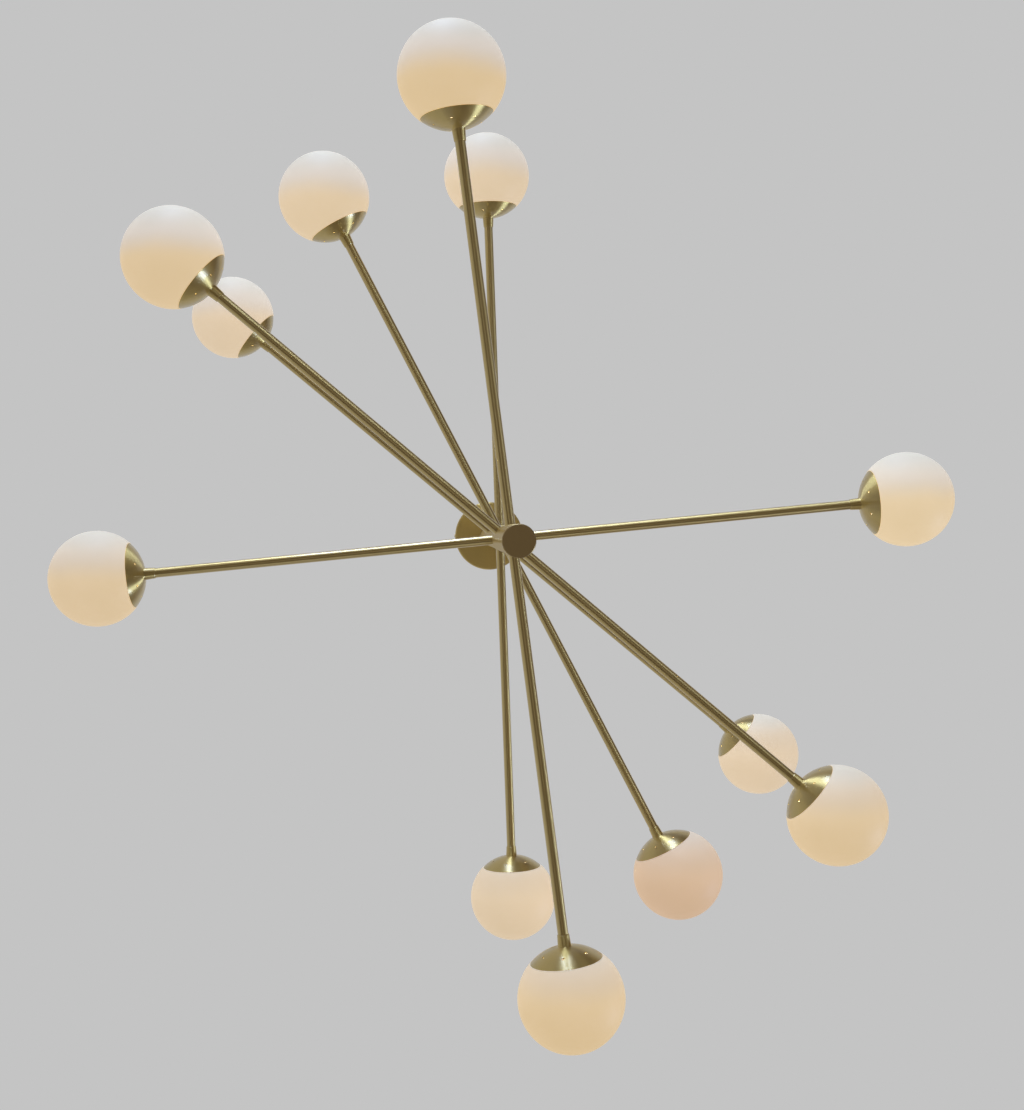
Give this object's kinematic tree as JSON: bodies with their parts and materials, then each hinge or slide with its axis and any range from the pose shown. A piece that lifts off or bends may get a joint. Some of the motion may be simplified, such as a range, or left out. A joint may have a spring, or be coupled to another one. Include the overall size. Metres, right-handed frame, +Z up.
{
  "type": "sputnik chandelier",
  "caption": "Sputnik chandelier: straight brass arm pairs on a round column, each turning by hand, with opal glass globes held in vented brass cups.",
  "frame": {"origin": "centre of the ceiling crossbar's slot pattern, on the ceiling plane", "axes": "+Z up out of the ceiling along the column's axis; the lamp hangs below z = 0; +X along the crossbar; the lowest pair of arms lies 82.6 degrees from +X towards +Y"},
  "size_m": [1.1898, 1.1942, 1.598],
  "materials": {
    "brass": "satin, spun and brushed",
    "brass_arm": "satin, drawn and lacquered",
    "dark_bronze": "dark patinated, flat brushed",
    "opal_glass": "opal, satin etched",
    "lamp_glass": "frosted, lit warm white",
    "porcelain": "glazed ceramic",
    "spring_steel": "plain spring temper",
    "zinc_steel": "zinc plated",
    "green_screw": "green dyed zinc",
    "washer_nylon": "natural nylon",
    "wire_cover": "insulation"
  },
  "bodies": {
    "column": {"ceiling_bracket": "zinc_steel", "earth_screw": "green_screw", "spindle_nuts": "zinc_steel", "canopy": "brass", "canopy_screws": "brass", "spindle": "zinc_steel", "upper_column": "brass", "column_spacers": "brass", "lower_column": "brass", "bottom_cap": "dark_bronze", "friction_washers": "washer_nylon", "supply_wires": "wire_cover"},
    "tier_a": {"tier_a_hub": "brass", "tier_a_arms": "brass_arm", "tier_a_cups": "brass", "tier_a_globe_clips": "spring_steel", "tier_a_lampholders": "porcelain", "tier_a_lamps": "lamp_glass", "globe_a1": "opal_glass", "globe_a2": "opal_glass"},
    "tier_b": {"tier_b_hub": "brass", "tier_b_arms": "brass_arm", "tier_b_cups": "brass", "tier_b_globe_clips": "spring_steel", "tier_b_lampholders": "porcelain", "tier_b_lamps": "lamp_glass", "globe_b1": "opal_glass", "globe_b2": "opal_glass"},
    "tier_c": {"tier_c_hub": "brass", "tier_c_arms": "brass_arm", "tier_c_cups": "brass", "tier_c_globe_clips": "spring_steel", "tier_c_lampholders": "porcelain", "tier_c_lamps": "lamp_glass", "globe_c1": "opal_glass", "globe_c2": "opal_glass"},
    "tier_d": {"tier_d_hub": "brass", "tier_d_arms": "brass_arm", "tier_d_cups": "brass", "tier_d_globe_clips": "spring_steel", "tier_d_lampholders": "porcelain", "tier_d_lamps": "lamp_glass", "globe_d1": "opal_glass", "globe_d2": "opal_glass"},
    "tier_e": {"tier_e_hub": "brass", "tier_e_arms": "brass_arm", "tier_e_cups": "brass", "tier_e_globe_clips": "spring_steel", "tier_e_lampholders": "porcelain", "tier_e_lamps": "lamp_glass", "globe_e1": "opal_glass", "globe_e2": "opal_glass"},
    "tier_f": {"tier_f_hub": "brass", "tier_f_arms": "brass_arm", "tier_f_cups": "brass", "tier_f_globe_clips": "spring_steel", "tier_f_lampholders": "porcelain", "tier_f_lamps": "lamp_glass", "globe_f1": "opal_glass", "globe_f2": "opal_glass"}
  },
  "joints": [
    {"name": "tier_a_turn", "type": "hinge", "parent": "column", "child": "tier_a", "pos_m": [0, 0, -1.38], "axis": [0, 0, 1], "range_deg": [-164, 164]},
    {"name": "tier_b_turn", "type": "hinge", "parent": "column", "child": "tier_b", "pos_m": [0, 0, -1.249], "axis": [0, 0, 1], "range_deg": [-121.4, 206.6]},
    {"name": "tier_c_turn", "type": "hinge", "parent": "column", "child": "tier_c", "pos_m": [0, 0, -1.118], "axis": [0, 0, 1], "range_deg": [-75.8, 252.2]},
    {"name": "tier_d_turn", "type": "hinge", "parent": "column", "child": "tier_d", "pos_m": [0, 0, -0.987], "axis": [0, 0, 1], "range_deg": [-143.8, 184.2]},
    {"name": "tier_e_turn", "type": "hinge", "parent": "column", "child": "tier_e", "pos_m": [0, 0, -0.856], "axis": [0, 0, 1], "range_deg": [-169.3, 158.7]},
    {"name": "tier_f_turn", "type": "hinge", "parent": "column", "child": "tier_f", "pos_m": [0, 0, -0.725], "axis": [0, 0, 1], "range_deg": [-121.1, 206.9]}
  ]
}
